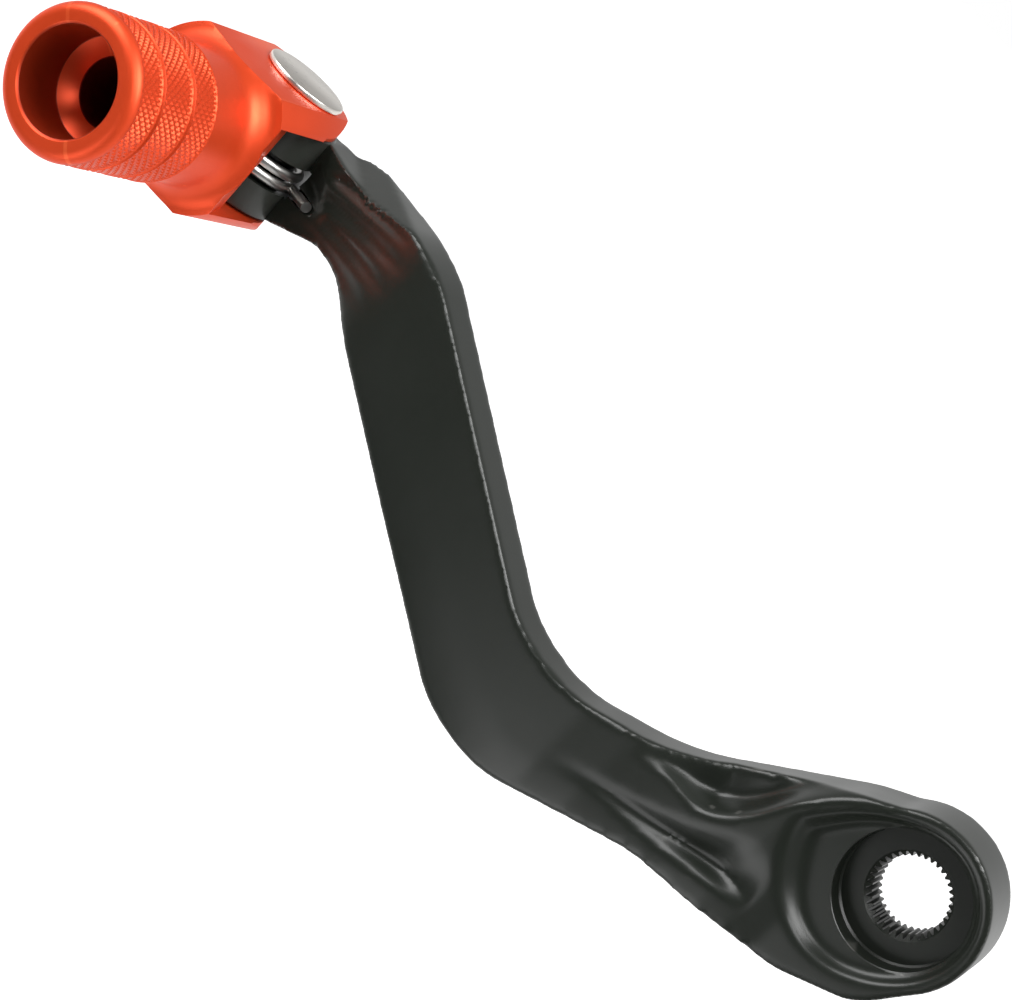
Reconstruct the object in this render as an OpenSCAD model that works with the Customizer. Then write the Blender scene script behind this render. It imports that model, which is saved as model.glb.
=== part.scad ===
// Motorcycle gear shift lever: a forged arm with a splined hub and a sprung folding tip.
// +Y runs outward along the shaft, +X runs forward from the shaft to the tip's pivot, +Z is up.
// The origin is on the shaft's axis, at the seat of the screw that holds the lever on the shaft.

/* [Arm] */
// Distance from the shaft's axis to the tip's pivot
lever_reach = 156.5; // [153:0.5:160]
// Thickness of the arm between the hub and the neck
arm_t = 9; // [8:0.5:10]
// Height of the arm's outer face above the screw seat
arm_front = 4.5; // [4:0.5:5]

/* [Hub] */
// Outer radius of the hub
hub_r = 12.9; // [12.7:0.1:14]
// Depth of the splined length behind the screw seat
spline_len = 7.5; // [7:0.5:9]
// Radius over the crests of the spline teeth
crest_r = 5.5; // [5.4:0.1:5.8]
// Number of spline teeth
teeth = 36; // [30:1:40]
// Depth of a spline tooth
tooth_depth = 0.7; // [0.5:0.1:0.7]
// Radius of the screw's counterbore
seat_r = 10; // [9.6:0.1:10.2]
// Depth of the screw's counterbore
seat_depth = 4.2; // [3.5:0.1:4.5]
// Width of the raised rim's inner edge, as a radius
rim_r = 11.5; // [11:0.1:12]
// Height of the rim above the counterbore's edge
rim_h = 1.8; // [1:0.1:2]

/* [Tip] */
// Height of the pivot's axis above the screw seat, along the shaft's axis
pivot_y = -9; // [-9.5:0.5:-8]
// How far the barrel's axis lies in front of the pivot
barrel_shift = 1.5; // [0:0.5:2]
// Radius of the knurled barrel
barrel_r = 11.6; // [11:0.1:12]
// Distance from the pivot to the barrel's outer end
barrel_end = 53; // [51:0.5:54]
// Radius of the barrel's counterbore
bore_r = 8.3; // [7.5:0.1:8.6]
// Depth of the barrel's counterbore
bore_depth = 9.8; // [8:0.1:11]
// Radius of the barrel's inner bore
inner_bore_r = 5.4; // [4.5:0.1:6]
// Radius of the flange behind the barrel
flange_r = 15; // [14.6:0.1:15.2]
// Height of the upper ear's outer face above the barrel's axis
ear_top = 12; // [11.6:0.1:12.4]
// Thickness of the upper ear
ear_t = 3.2; // [3:0.1:3.4]
// Thickness of the lower ear
low_ear_t = 4.2; // [3.8:0.1:4.4]
// Largest angle that the tip folds through
fold_max = 40; // [30:1:40]

/* [Pivot] */
// Radius of the pivot pin's shank
pin_r = 4; // [3.8:0.1:4.2]
// Radius of the pin's flat head
head_r = 7.3; // [7:0.1:8]
// Thickness of the pin's flat head
head_t = 1.1; // [1:0.1:1.4]
// Wall of the bush
bush_t = 1; // [0.8:0.1:1.2]
// Radius of the spring's wire
wire_r = 0.9; // [0.8:0.05:0.95]
// Number of whole turns in the spring
spring_turns = 1; // [1:1:2]

/* [Hidden] */
$fn = 96;
eps = 0.02;

arm_back = arm_front - arm_t;
chamfer = 0.8;
hub_back = -spline_len;
rim_y = seat_depth + rim_h;

ear_in = ear_top - ear_t;
ear_low = -ear_in - low_ear_t;
ear_r = 11.2;
ear_middle = [1, 2.2];
side_gap = 0.3;
lug_h = ear_in - side_gap;
lug_r = 9.8;
stop_y = lug_r + side_gap;
nose_w = 8.5;

bush_r = pin_r + bush_t;
run_gap = 0.04;
seal_wire_r = 0.8;
seal_mid_r = bush_r + seal_wire_r + 0.6;
seal_z = lug_h - seal_wire_r + 0.2;

coil_mid_r = 8.75;
core_r = coil_mid_r - wire_r - 0.15;
coil_pitch = 2 * wire_r + 0.3;
coil_z = -1.95;
arm_leg_angle = 185;
coil_sweep = 360 * spring_turns + arm_leg_angle;
coil_top = coil_z + coil_pitch * coil_sweep / 360;
coil_low = coil_z - wire_r - 0.3;
coil_high = coil_top + wire_r + 0.3;
ring_z = ear_low + 0.9;
ring_recess_r = 6.4;
ring_t = 1.1;
ring_groove_r = pin_r - 0.6;

// The front face's lowest places on the neck, where the tip folds down
neck_top_x = 120;
neck_end_x = lever_reach - lug_r;
neck_end_y = -9.9;
back_y = pivot_y - lug_r;

// Outline of the arm seen from outside: [x, z, corner radius]
ARM = [
    [lever_reach, -lug_h, 0], [147, -lug_h, 4], [136, -4.2, 10], [129.2, -0.2, 6],
    [61.9, -38.9, 23], [30.2, -24.3, 25], [5.3, -20.3, 14], [-6, -14.7, 9], [-11.1, -6.5, 0],
    [3.8, 12.3, 0], [14.2, 6.2, 24], [36, -10.6, 40], [60, -19.4, 24], [115.2, 12.5, 22],
    [141.5, 10.2, 3], [143.5, lug_h, 2], [lever_reach, lug_h, 0]
];

// The same arm seen from above: [x, y, corner radius]
SIDE = [
    [-14, hub_back, 0], [15, hub_back, 12], [32, arm_back, 20], [113, arm_back, 20],
    [143, back_y, 6], [lever_reach, back_y, 0], [lever_reach, neck_end_y, 0],
    [neck_end_x, neck_end_y, 3], [neck_top_x, arm_front, 20], [50, arm_front, 30],
    [23, rim_y + 1.4, 20], [11, rim_y, 8], [-14, rim_y, 0]
];

// Section of the barrel and its flange: [radius, distance from the pivot]
barrel_base = 21.7;
collar_r = 10.8;
flange_front = 17;
groove_w = 0.9;
groove_d = 0.5;
knurl_from = 30.8;
knurl_pitch = 8.3;
lip_r = 1.9;
BARREL = [
    [0, -lug_r - 12], [flange_r, -lug_r - 12], [flange_r, flange_front],
    each [for (a = [0:10:90]) [collar_r, barrel_base]
        + (barrel_base - flange_front) * [1 - sin(a), -cos(a)] * 0.999],
    [collar_r, knurl_from - 0.6], [barrel_r, knurl_from],
    each [for (k = [1:2]) each groove(knurl_from + 6.1 + (k - 1) * knurl_pitch)],
    each [for (a = [0:15:90]) [barrel_r - lip_r, barrel_end - lip_r] + lip_r * [cos(a), sin(a)]],
    [0, barrel_end]
];

function groove(y) = [
    [barrel_r, y], [barrel_r - groove_d, y + 0.3],
    [barrel_r - groove_d, y + groove_w - 0.3], [barrel_r, y + groove_w]
];

function unit(v) = v / norm(v);
function xy(p) = [p[0], p[1]];

// The arc that rounds one corner of an outline
function corner(before, at, after, radius, steps = 8) =
    let (u = unit(before - at), v = unit(after - at), half = acos(u * v) / 2,
         centre = at + unit(u + v) * radius / sin(half),
         first = at + u * radius / tan(half) - centre,
         last = at + v * radius / tan(half) - centre,
         from = atan2(first[1], first[0]),
         turn = (atan2(last[1], last[0]) - from + 540) % 360 - 180)
    [for (i = [0:steps]) centre + radius * [cos(from + turn * i / steps), sin(from + turn * i / steps)]];

function rounded(points) =
    let (n = len(points))
    [for (i = [0:n - 1]) each points[i][2] == 0 ? [xy(points[i])]
        : corner(xy(points[(i + n - 1) % n]), xy(points[i]), xy(points[(i + 1) % n]), points[i][2])];

// Extrudes an outline drawn in X and Z along Y
module along_y(y0, y1) {
    translate([0, y0, 0]) rotate([-90, 0, 0]) linear_extrude(y1 - y0) mirror([0, 1]) children();
}

module disc_y(r, y0, y1) {
    translate([0, y0, 0]) rotate([-90, 0, 0]) cylinder(h = y1 - y0, r = r);
}

module at_pivot() {
    translate([lever_reach, pivot_y, 0]) children();
}

module at_barrel() {
    translate([barrel_shift, 0, 0]) children();
}

module arm_blank() {
    intersection() {
        along_y(-20, 12) polygon(rounded(ARM));
        translate([0, 0, -60]) linear_extrude(90) polygon(rounded(SIDE));
    }
    disc_y(hub_r, hub_back, rim_y);
    at_pivot() lug();
}

// The round end that the tip's ears straddle, with a square nose that the tip rests against
module lug() {
    intersection() {
        union() {
            translate([0, 0, -lug_h]) cylinder(h = 2 * lug_h, r = lug_r);
            translate([0, 0, -lug_h]) cube([nose_w, lug_r, 2 * lug_h]);
        }
        translate([-lug_r, -lug_r, -lug_h]) cube([2 * lug_r, 2 * lug_r, 2 * lug_h]);
    }
}

// Teardrop pocket around the counterbore
module rim_pocket() {
    disc_y(rim_r, seat_depth, rim_y + 4);
    translate([4.2, 0, -1.8]) disc_y(12, seat_depth, rim_y + 4);
}

module spline() {
    disc_y(crest_r, hub_back - 1, 1);
    for (i = [0:teeth - 1])
        rotate([0, 360 * (i + 0.5) / teeth, 0])
            along_y(hub_back - 1, 1) polygon([[-0.32, crest_r - 0.3], [0.32, crest_r - 0.3],
                [0.1, crest_r + tooth_depth], [-0.1, crest_r + tooth_depth]]);
    translate([0, -chamfer, 0]) rotate([-90, 0, 0])
        cylinder(h = 2 * chamfer, r1 = crest_r, r2 = crest_r + 2 * chamfer);
}

// Room for the coil, open to the front, and the channel for the leg that rests on the neck
module spring_room() {
    leg_channel(LEG_IN[1], LEG_IN[0]);
    translate([0, 0, coil_low]) difference() {
        cylinder(h = coil_high - coil_low, r = lug_r + 0.6);
        translate([0, 0, -1]) cylinder(h = coil_high - coil_low + 2, r = core_r);
    }
    translate([0, 0, coil_low]) cube([nose_w + 1, lug_r + 1, coil_high - coil_low]);
}

module leg_channel(from, to) {
    run = to - from;
    translate(from) rotate([0, acos(run[2] / norm(run)), atan2(run[1], run[0])])
        translate([0, 0, -0.8]) cylinder(h = norm(run) + 2, r = wire_r + 0.3);
}

module core() {
    translate([0, 0, -lug_h]) cylinder(h = 2 * lug_h, r = core_r);
}

module seal_groove(z0) {
    translate([0, 0, z0]) difference() {
        cylinder(h = 3, r = seal_mid_r + seal_wire_r + 0.05);
        translate([0, 0, -1]) cylinder(h = 5, r = bush_r + 0.5);
    }
}

// Relief for the folded ears, above and below the lug
module ear_relief() {
    for (s = [-1, 1])
        rotate([0, 0, fold_max]) translate([-14, -30, s > 0 ? lug_h : -lug_h - 10])
            cube([40, 47.6, 10]);
    for (s = [-1, 1])
        translate([0, 0, s > 0 ? lug_h : -lug_h - 10]) cylinder(h = 10, r = 12.9);
}

module shift_arm() {
    color("#2b2d2c") difference() {
        union() {
            difference() {
                arm_blank();
                at_pivot() spring_room();
                at_pivot() ear_relief();
            }
            at_pivot() core();
        }
        rim_pocket();
        disc_y(seat_r, 0, rim_y + 2);
        spline();
        at_pivot() translate([0, 0, -lug_h - 1]) cylinder(h = 2 * lug_h + 2, r = bush_r);
        at_pivot() seal_groove(seal_z - seal_wire_r);
        at_pivot() mirror([0, 0, 1]) seal_groove(seal_z - seal_wire_r);
    }
}

module pivot_bush() {
    color("#b08d57") at_pivot() difference() {
        translate([0, 0, -lug_h]) cylinder(h = 2 * lug_h, r = bush_r);
        translate([0, 0, -lug_h - 1]) cylinder(h = 2 * lug_h + 2, r = pin_r + run_gap);
    }
}

module seal() {
    rotate_extrude() translate([seal_mid_r, 0]) circle(r = seal_wire_r, $fn = 32);
}

module upper_seal() {
    color("#1c1c1c") at_pivot() translate([0, 0, seal_z]) seal();
}

module lower_seal() {
    color("#1c1c1c") at_pivot() translate([0, 0, -seal_z]) seal();
}

// Route of the spring's wire: a leg on the neck, a bend, the coil, and a leg into the tip
coil_steps = 30 * (spring_turns + 0.5);
LEG_IN = [[-15.6, 2.75, -0.5], [-10.1, -1.8, -1.6]];
BEND = [[-9.6, -2.15, -1.7], [-9.1, -2.1, -1.8], [-8.8, -1.6, -1.9]];
LEG_OUT = [[coil_mid_r, 5, coil_top], [coil_mid_r, 12.6, coil_top]];
WIRE = concat(LEG_IN, BEND,
    [for (i = [0:coil_steps]) let (a = arm_leg_angle - coil_sweep * i / coil_steps)
        [coil_mid_r * cos(a), coil_mid_r * sin(a), coil_z + (coil_top - coil_z) * i / coil_steps]],
    LEG_OUT);

module wire(route, r, sides = 8) {
    n = len(route);
    tangent = [for (i = [0:n - 1]) unit(route[min(i + 1, n - 1)] - route[max(i - 1, 0)])];
    points = [for (i = [0:n - 1])
        let (across = unit(cross([0, 0, 1], tangent[i])), up = cross(tangent[i], across))
        for (k = [0:sides - 1]) route[i] + r * (across * cos(360 * k / sides) + up * sin(360 * k / sides))];
    walls = [for (i = [0:n - 2]) for (k = [0:sides - 1]) let (m = (k + 1) % sides)
        [i * sides + k, (i + 1) * sides + k, (i + 1) * sides + m, i * sides + m]];
    polyhedron(points, concat([[for (k = [0:sides - 1]) k]],
        walls, [[for (k = [sides - 1:-1:0]) (n - 1) * sides + k]]));
}

module return_spring() {
    color("#9a9c9e") at_pivot() wire(WIRE, wire_r);
}

// Outline of the ears seen from above: a round end that widens to the flange
module ear_plan() {
    polygon(concat([for (a = [180:5:360]) ear_middle + ear_r * [cos(a), sin(a)]],
        [[barrel_shift + flange_r, 11], [barrel_shift + flange_r, 60],
            [barrel_shift - flange_r, 60], [barrel_shift - flange_r, 11]]));
}

module tip_blank() {
    intersection() {
        at_barrel() rotate([-90, 0, 0]) rotate_extrude() polygon(BARREL);
        translate([0, 0, ear_low]) linear_extrude(ear_top - ear_low) ear_plan();
    }
}

// The space between the ears, and the slanted side of the web that clears the neck when folded
module ear_gap() {
    translate([-20, -40, -ear_in]) cube([40, 40 + stop_y, 2 * ear_in]);
    translate([0, 0, -ear_in]) linear_extrude(2 * ear_in)
        polygon([[-7.2, 6], [-10.7, flange_front + 0.4], [-30, flange_front + 0.4], [-30, 6]]);
}

// Counterbore, its chamfered floor, and the smaller bore behind it
module barrel_bore() {
    disc_y(bore_r, barrel_end - bore_depth, barrel_end + 1);
    disc_y(inner_bore_r, flange_front + 4, barrel_end);
    translate([0, barrel_end - bore_depth - 1.9, 0]) rotate([-90, 0, 0])
        cylinder(h = 1.9 + eps, r1 = inner_bore_r, r2 = bore_r - 0.3);
}

module folding_tip() {
    color("#e8501e") at_pivot() difference() {
        tip_blank();
        ear_gap();
        translate([0, 0, ear_low - 1]) cylinder(h = ear_top - ear_low + 2, r = pin_r + 0.02);
        translate([0, 0, ear_low - 1]) cylinder(h = ring_z + ring_t + 1.1 - ear_low, r = ring_recess_r);
        at_barrel() barrel_bore();
        translate([coil_mid_r, stop_y - 1, coil_top]) rotate([-90, 0, 0]) cylinder(h = 4.2, r = wire_r + 0.3);
    }
}

module pivot_pin() {
    shank_end = ear_low + 0.2;
    color("#d8d5ce") at_pivot() difference() {
        union() {
            translate([0, 0, shank_end]) cylinder(h = ear_top - shank_end + eps, r = pin_r);
            translate([0, 0, ear_top]) cylinder(h = head_t, r = head_r);
        }
        translate([0, 0, ring_z]) difference() {
            cylinder(h = ring_t + 0.1, r = pin_r + 1);
            translate([0, 0, -1]) cylinder(h = ring_t + 3, r = ring_groove_r);
        }
    }
}

// External retaining ring, open on one side, seated in the pin's groove
module retaining_ring() {
    color("#6f7174") at_pivot() translate([0, 0, ring_z + 0.05]) difference() {
        cylinder(h = ring_t, r = pin_r + 1.9);
        translate([0, 0, -1]) cylinder(h = ring_t + 2, r = ring_groove_r + eps);
        translate([0, -2, -1]) cube([pin_r + 4, 4, ring_t + 2]);
    }
}

shift_arm();
pivot_bush();
upper_seal();
lower_seal();
return_spring();
folding_tip();
pivot_pin();
retaining_ring();
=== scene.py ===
import math

import bmesh
import bpy
import numpy as np
from mathutils import Matrix, Vector


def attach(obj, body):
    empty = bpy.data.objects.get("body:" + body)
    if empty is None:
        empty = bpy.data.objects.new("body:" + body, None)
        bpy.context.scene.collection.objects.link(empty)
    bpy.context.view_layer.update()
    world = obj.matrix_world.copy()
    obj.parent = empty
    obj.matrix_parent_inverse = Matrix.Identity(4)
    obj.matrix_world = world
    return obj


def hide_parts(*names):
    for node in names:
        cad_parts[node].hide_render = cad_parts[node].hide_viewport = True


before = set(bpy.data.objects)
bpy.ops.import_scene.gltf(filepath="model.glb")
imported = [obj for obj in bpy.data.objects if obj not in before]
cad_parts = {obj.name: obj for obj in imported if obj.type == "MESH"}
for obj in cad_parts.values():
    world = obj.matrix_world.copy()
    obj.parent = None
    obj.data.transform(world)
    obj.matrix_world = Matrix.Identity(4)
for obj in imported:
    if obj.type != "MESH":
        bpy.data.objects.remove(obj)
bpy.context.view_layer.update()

# ---------------------------------------------------------------------------
# Shift arm: one aluminium forging with a splined hub, a cranked blade and a
# round lug. It is forged with soft edges, machined at both ends, tumbled to a
# gloss and anodised black. It is pushed onto the gear shaft's spline.
# ---------------------------------------------------------------------------
MM = 0.001
HUB_R = 12.9
SEAT_DEPTH = 4.2
PIVOT = (156.5, -9.0)
AT_PIVOT = (PIVOT[0], PIVOT[1], 0)
LUG_R = 9.8
LUG_H = 8.5
LUG_EDGE = 0.3
FOLD = math.radians(40)
FORGING_VOXEL = 0.45

# Outline seen from outside: x, z, corner radius
ARM_OUTLINE = [
    (152, -7.9, 0), (147, -8.4, 3), (129.4, -0.6, 16),
    (62.0, -39.05, 23), (30.2, -24.8, 25), (5.3, -20.3, 14), (-6, -14.7, 9), (-11.1, -6.5, 0),
    (3.8, 12.3, 0), (14.2, 6.2, 24), (36, -10.6, 40), (60, -19.4, 24), (115.2, 12.5, 22),
    (138.5, 10.9, 12), (148.5, 8.1, 3), (152, 7.9, 0),
]


def piece(name, bm):
    """Puts a finished mesh on an object at the origin."""
    mesh = bpy.data.meshes.new(name)
    bm.to_mesh(mesh)
    bm.free()
    obj = bpy.data.objects.new(name, mesh)
    bpy.context.scene.collection.objects.link(obj)
    return obj


def thicken(bm, along):
    """Extrudes a flat mesh into a solid."""
    grown = bmesh.ops.extrude_face_region(bm, geom=bm.faces[:])
    moved = [g for g in grown["geom"] if isinstance(g, bmesh.types.BMVert)]
    bmesh.ops.translate(bm, verts=moved, vec=along)
    bmesh.ops.recalc_face_normals(bm, faces=bm.faces)


def outline_solid(name, corners, low, high, upright):
    """A solid from an outline with rounded corners, run along Y if upright and along Z if not."""
    turn = Matrix.Rotation(math.pi / 2, 4, "X") if upright else Matrix()
    along = Vector((0, 1, 0)) if upright else Vector((0, 0, 1))
    bm = bmesh.new()
    verts = [bm.verts.new(turn @ Vector((a * MM, b * MM, 0)) + along * low * MM)
             for a, b, _ in corners]
    bm.faces.new(verts)
    points = [v.co.copy() for v in verts]
    for i, vert in enumerate(verts):
        radius = corners[i][2] * MM
        if radius:
            before = points[i - 1] - points[i]
            after = points[(i + 1) % len(points)] - points[i]
            bmesh.ops.bevel(bm, geom=[vert], offset=radius / math.tan(before.angle(after) / 2),
                            offset_type="OFFSET", segments=24, profile=0.5, affect="VERTICES", material=-1)
    thicken(bm, along * (high - low) * MM)
    return piece(name, bm)


def round_solid(name, sections, axis, centre=(0, 0, 0), segments=96):
    """A turned solid about Y or Z from (radius, place along the axis) pairs, closed on its axis."""
    bm = bmesh.new()
    if axis == "Y":
        spots = [Vector((r, h, 0)) for r, h in sections]
    else:
        spots = [Vector((r, 0, h)) for r, h in sections]
    verts = [bm.verts.new((Vector(centre) + s) * MM) for s in spots]
    edges = [bm.edges.new(pair) for pair in zip(verts, verts[1:])]
    bmesh.ops.spin(bm, geom=verts + edges, cent=Vector(centre) * MM,
                   axis=(0, 1, 0) if axis == "Y" else (0, 0, 1),
                   angle=2 * math.pi, steps=segments, use_merge=True)
    bmesh.ops.remove_doubles(bm, verts=bm.verts, dist=0.002 * MM)
    bmesh.ops.recalc_face_normals(bm, faces=bm.faces)
    return piece(name, bm)


def settle(obj):
    """Makes an object's modifiers permanent."""
    mesh = bpy.data.meshes.new_from_object(obj.evaluated_get(bpy.context.evaluated_depsgraph_get()))
    obj.modifiers.clear()
    old, obj.data = obj.data, mesh
    bpy.data.meshes.remove(old)


def combine(obj, other, operation, solver="EXACT"):
    """Joins, cuts or crosses obj with other, which is used up."""
    cut = obj.modifiers.new(operation, "BOOLEAN")
    cut.object, cut.operation, cut.solver = other, operation, solver
    settle(obj)
    bpy.data.objects.remove(other)


def remesh(obj, size):
    skin = obj.modifiers.new("skin", "REMESH")
    skin.mode, skin.voxel_size = "VOXEL", size * MM
    settle(obj)


def coordinates(obj):
    spots = np.empty(len(obj.data.vertices) * 3)
    obj.data.vertices.foreach_get("co", spots)
    return spots.reshape(-1, 3) / MM


def place(obj, spots):
    obj.data.vertices.foreach_set("co", (spots * MM).ravel())
    obj.data.update()


def relax(obj, weights, rounds):
    """Rounds off edges as tumbling does, by a weight for each point."""
    group = obj.vertex_groups.new(name="relax")
    levels = np.round(np.clip(weights, 0, 1) * 10) / 10
    for level in np.unique(levels[levels > 0]):
        group.add(np.nonzero(levels == level)[0].tolist(), float(level), "REPLACE")
    ease = obj.modifiers.new("relax", "SMOOTH")
    ease.factor, ease.iterations, ease.vertex_group = 0.5, rounds, "relax"
    settle(obj)
    obj.vertex_groups.clear()


def ramp(value):
    """0 below 0, 1 above 1, with soft ends."""
    value = np.clip(value, 0, 1)
    return value * value * (3 - 2 * value)


def along_route(x, z, route):
    """Distance to a route, which side of it a point is on, and the route's other values there."""
    spots = np.stack([x, z], 1)
    route = np.array(route, float)
    for _ in range(3):  # cuts the corners off three times, so the route runs in a smooth curve
        inner = np.stack([0.75 * route[:-1] + 0.25 * route[1:], 0.25 * route[:-1] + 0.75 * route[1:]], 1)
        route = np.concatenate([route[:1], inner.reshape(-1, route.shape[1]), route[-1:]])
    best = np.full(len(spots), np.inf)
    side = np.ones(len(spots))
    values = np.zeros((len(spots), route.shape[1] - 2))
    for start, end in zip(route, route[1:]):
        span = end[:2] - start[:2]
        offset = spots - start[:2]
        part = np.clip(offset @ span / (span @ span), 0, 1)
        gap = np.linalg.norm(offset - part[:, None] * span, axis=1)
        nearer = gap < best - 1e-9
        best[nearer] = gap[nearer]
        side[nearer] = np.sign(span[0] * offset[:, 1] - span[1] * offset[:, 0])[nearer]
        values[nearer] = (start[2:] + part[:, None] * (end[2:] - start[2:]))[nearer]
    return best, side, values.T


# Ridge above the upper scoop: x, z, depth beyond it, width of its wall
UPPER_SCOOP = [
    (41, -15.2, 0, 1.5), (36.5, -13.6, 1.0, 1.4), (33.3, -12.9, 2.6, 1.6), (30.5, -12.9, 4.2, 2.0),
    (28, -12.6, 5.2, 2.4), (25.7, -11.2, 5.4, 2.6), (23.7, -9.2, 5.2, 2.6), (21.7, -6.2, 5.0, 2.6),
    (20.3, -3.1, 4.8, 2.6), (18.7, -0.2, 4.5, 2.6), (14.9, 4.9, 3.6, 2.6), (9.6, 8.9, 2.4, 2.2),
    (6, 11, 1.2, 1.8), (2, 13, 0, 1.5),
]
# Lower wall of the middle scoop: x, z, depth, reach to the far side
MIDDLE_SCOOP = [
    (49, -25.6, 0, 1.4), (43, -23.4, 0.35, 1.6), (38.9, -22.3, 0.8, 2.2), (32.5, -21, 1.5, 3.6),
    (25.7, -19.1, 2.4, 5.2), (22.3, -18.2, 2.9, 6.4), (18.9, -17.5, 2.8, 8.5), (16.6, -17, 1.5, 8.5),
    (13.5, -17, 0, 6),
]
# Edge of the teardrop recess round the counterbore: x, z, width of its wall
RECESS = [
    (17.4, -2.4, 3.4), (16.5, -5.6, 3.6), (14.5, -8.8, 3.6), (12.1, -11.5, 3.2), (9.2, -13.4, 2.6),
    (6.6, -14.3, 2.2), (3.9, -14.6, 1.8), (1, -14.2, 1.5), (-1.8, -13.2, 1.3), (-5.8, -10.6, 1.2),
    (-9.2, -6.7, 1.2), (-11, -2.4, 1.2), (-11.2, 2, 1.2), (-9.6, 6.4, 1.2), (-5.8, 9.9, 1.2),
    (-1.5, 11.3, 1.2), (2.8, 10.9, 1.3), (6.9, 9, 1.5), (11.4, 5.6, 2.0), (15.1, 1.3, 2.8),
    (17.4, -2.4, 3.4),
]
# Hollow behind the coil, then flutes that run from the lug along the neck: x, z, half width, depth
FLUTES = [
    [(149, 1.6, 4.2, 1.6), (143, 1.6, 3.4, 1.6), (140, 1.2, 2.4, 0.9), (137.5, 0.8, 1.2, 0)],
    [(142, 5.6, 1.2, 0.3), (139, 6.6, 2.2, 1.6), (135, 7.9, 2.4, 1.8), (129, 9.1, 2.0, 1.4),
     (123.5, 10.1, 1.4, 0.6), (118.5, 10.6, 0.8, 0)],
    [(140, 2.6, 2.0, 1.0), (136, 3.6, 2.4, 1.3), (131.9, 4.6, 2.3, 1.2), (124.6, 6.2, 1.9, 0.7),
     (116, 7.2, 1.4, 0)],
    [(136.5, 0.6, 1.6, 0.8), (130.9, 1.6, 2.0, 1.0), (124.2, 2.6, 1.8, 0.7), (119.9, 2.8, 1.4, 0.25),
     (116, 2.4, 1.0, 0)],
    [(142, -4.4, 1.6, 0.3), (136.5, -2.4, 2.2, 0.6), (130.5, -1.6, 2.2, 0.6), (124, -1.2, 1.8, 0.35),
     (117, -1.8, 1.4, 0)],
]


# Line along the middle of the blade: x, z
BLADE_MIDDLE = [(140, 2), (128, 7), (62, -28), (50, -28), (20, -14), (0, 0)]
BLADE_FALL = 0.012
# The two faces from above: x, height over the screw seat
FRONT_FACE = [
    (-13, 6.0), (9, 6.1), (14, 6.9), (19, 7.4), (26, 7.0), (34, 6.1), (42, 5.1), (50, 4.5), (113, 4.5),
    (116, 4.35), (118, 4.05), (120, 3.5), (122, 2.75), (124, 1.9), (126, 0.95), (146.7, -9.9), (152, -9.9),
]
BACK_FACE = [
    (-13, -7.5), (15, -7.5), (24, -6.4), (36, -4.5), (108, -4.5), (118, -6.0), (143, -18.3), (152, -18.3),
]


def front_height(x, z):
    """Height of the forging's outer face over the screw seat."""
    height = np.interp(x, *zip(*FRONT_FACE))
    # The blade's face falls away a little towards its outer edge
    gap, side, _ = along_route(x, z, BLADE_MIDDLE)
    on_blade = ramp((x - 25) / 20) * ramp((135 - x) / 10)
    height = height - BLADE_FALL * np.where(side > 0, gap, 0) ** 2 * on_blade
    gap, side, (depth, width) = along_route(x, z, UPPER_SCOOP)
    height = height - depth * ramp(np.where(side < 0, gap, -gap) / width + 0.15)
    gap, side, (depth, reach) = along_route(x, z, MIDDLE_SCOOP)
    over = np.where(side < 0, gap, -gap)
    height = height - depth * ramp(over / 2.6 + 0.5) * (1 - ramp(over / reach))
    flutes = np.zeros(len(x))
    for flute in FLUTES:
        gap, _, (half, depth) = along_route(x, z, flute)
        flutes = np.maximum(flutes, 1.2 * depth * np.clip(1 - gap / half, 0, 1))
    height = height - flutes
    gap, side, (width,) = along_route(x, z, RECESS)
    inside = np.where(side < 0, gap, -gap)
    return height + (SEAT_DEPTH - height) * ramp(inside / width + 0.2)


def back_height(x):
    """Height of the forging's inner face over the screw seat."""
    return np.interp(x, *zip(*BACK_FACE))


arm = outline_solid("shift_arm_forging", ARM_OUTLINE, -20, 12, upright=True)
hub = round_solid("hub", [(0, -20), (HUB_R, -20), (HUB_R, 12), (0, 12)], "Y")
combine(arm, hub, "UNION")
remesh(arm, FORGING_VOXEL)
spots = coordinates(arm)
front = front_height(spots[:, 0], spots[:, 2])
back = back_height(spots[:, 0])
spots[:, 1] = np.clip(spots[:, 1], back, front)
# The top of the neck dips to the lug, clear of the folded ear
EAR_SIDE = -14.3
NECK_START = 115
from_pivot = spots - AT_PIVOT
ear_gap = EAR_SIDE - from_pivot[:, 0] * math.cos(FOLD) - from_pivot[:, 1] * math.sin(FOLD)
low_neck = LUG_H - 0.2 + 0.7 * np.maximum(ear_gap, 0)
spots[:, 2] = np.where(spots[:, 0] > NECK_START, np.minimum(spots[:, 2], low_neck), spots[:, 2])
place(arm, spots)
remesh(arm, FORGING_VOXEL)
spots = coordinates(arm)
neck = ramp((spots[:, 0] - 117) / 5)
relax(arm, 1.0 - 0.15 * neck, 11)
spots = coordinates(arm)
# The blade, its outer edge and every edge on the inner side are rounded more
_, side, _ = along_route(spots[:, 0], spots[:, 2],
                         [(140, 1), (129, 4), (61, -33), (30, -20), (12, -17)])
blade = ramp((spots[:, 0] - 42) / 8) * ramp((120 - spots[:, 0]) / 6)
outer_edge = np.where(side > 0, 1.0, 0.0) * ramp((spots[:, 0] - 16) / 14) * ramp((134 - spots[:, 0]) / 8)
inner_side = ramp((1.0 - (spots[:, 1] - back_height(spots[:, 0]))) / 2 + 0.5)
relax(arm, np.maximum(np.maximum(outer_edge, inner_side), blade), 7)

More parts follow.
